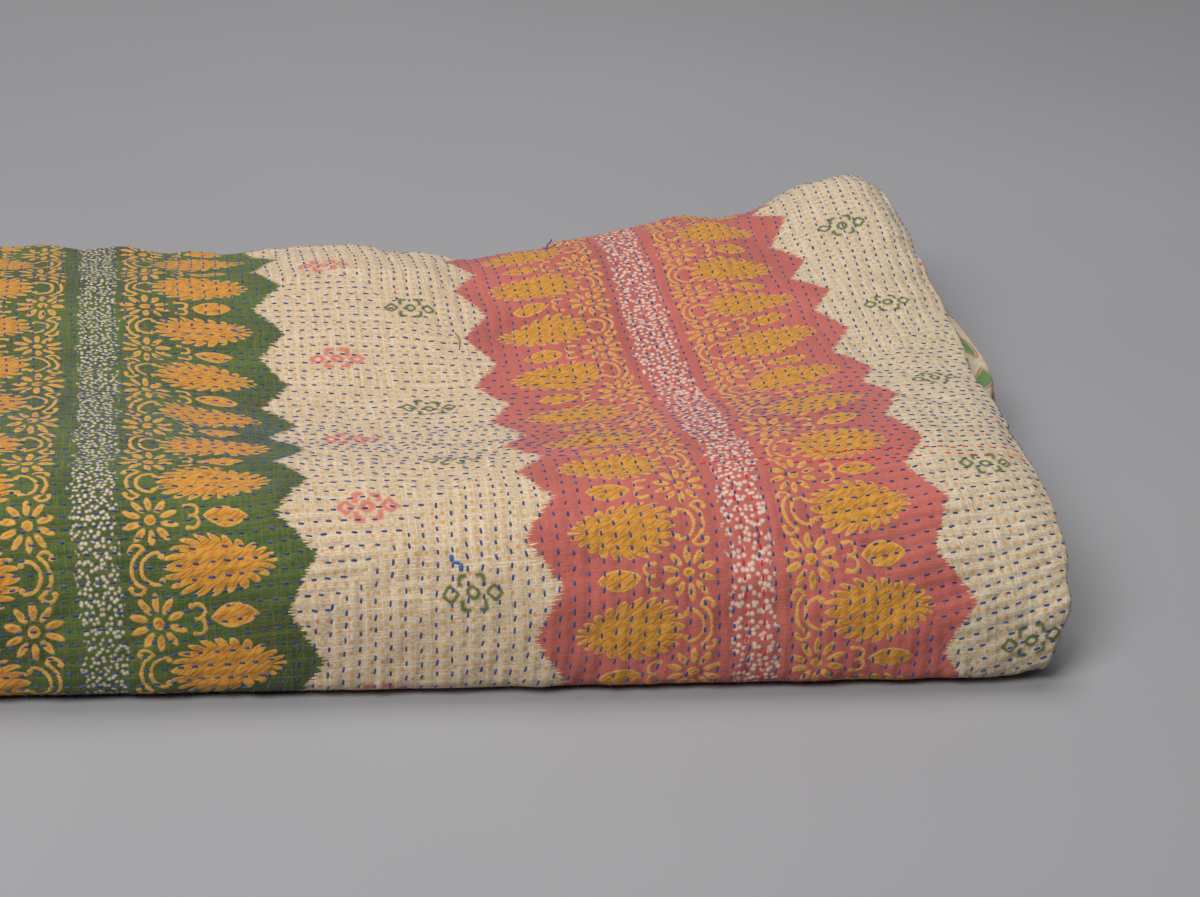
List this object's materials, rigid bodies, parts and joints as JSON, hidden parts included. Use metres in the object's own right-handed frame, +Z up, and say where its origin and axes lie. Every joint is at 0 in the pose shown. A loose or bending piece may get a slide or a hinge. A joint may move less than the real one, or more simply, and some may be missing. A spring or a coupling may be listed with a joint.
{
  "type": "folded kantha quilt",
  "caption": "Hand-quilted cotton kantha quilt with woven green and rose border bands, folded into a flat package.",
  "frame": {"origin": "middle of the footprint, on the surface that the package lies on", "axes": "+X along the front roll to the folded right end, +Y from the front roll to the back folds, +Z up from the resting face"},
  "size_m": [0.7025, 0.4095, 0.0839],
  "materials": {
    "quilted_cotton": "soft washed cotton with running-stitch ripples, matt"
  },
  "bodies": {
    "root": {"quilt": "quilted_cotton"}
  },
  "joints": []
}
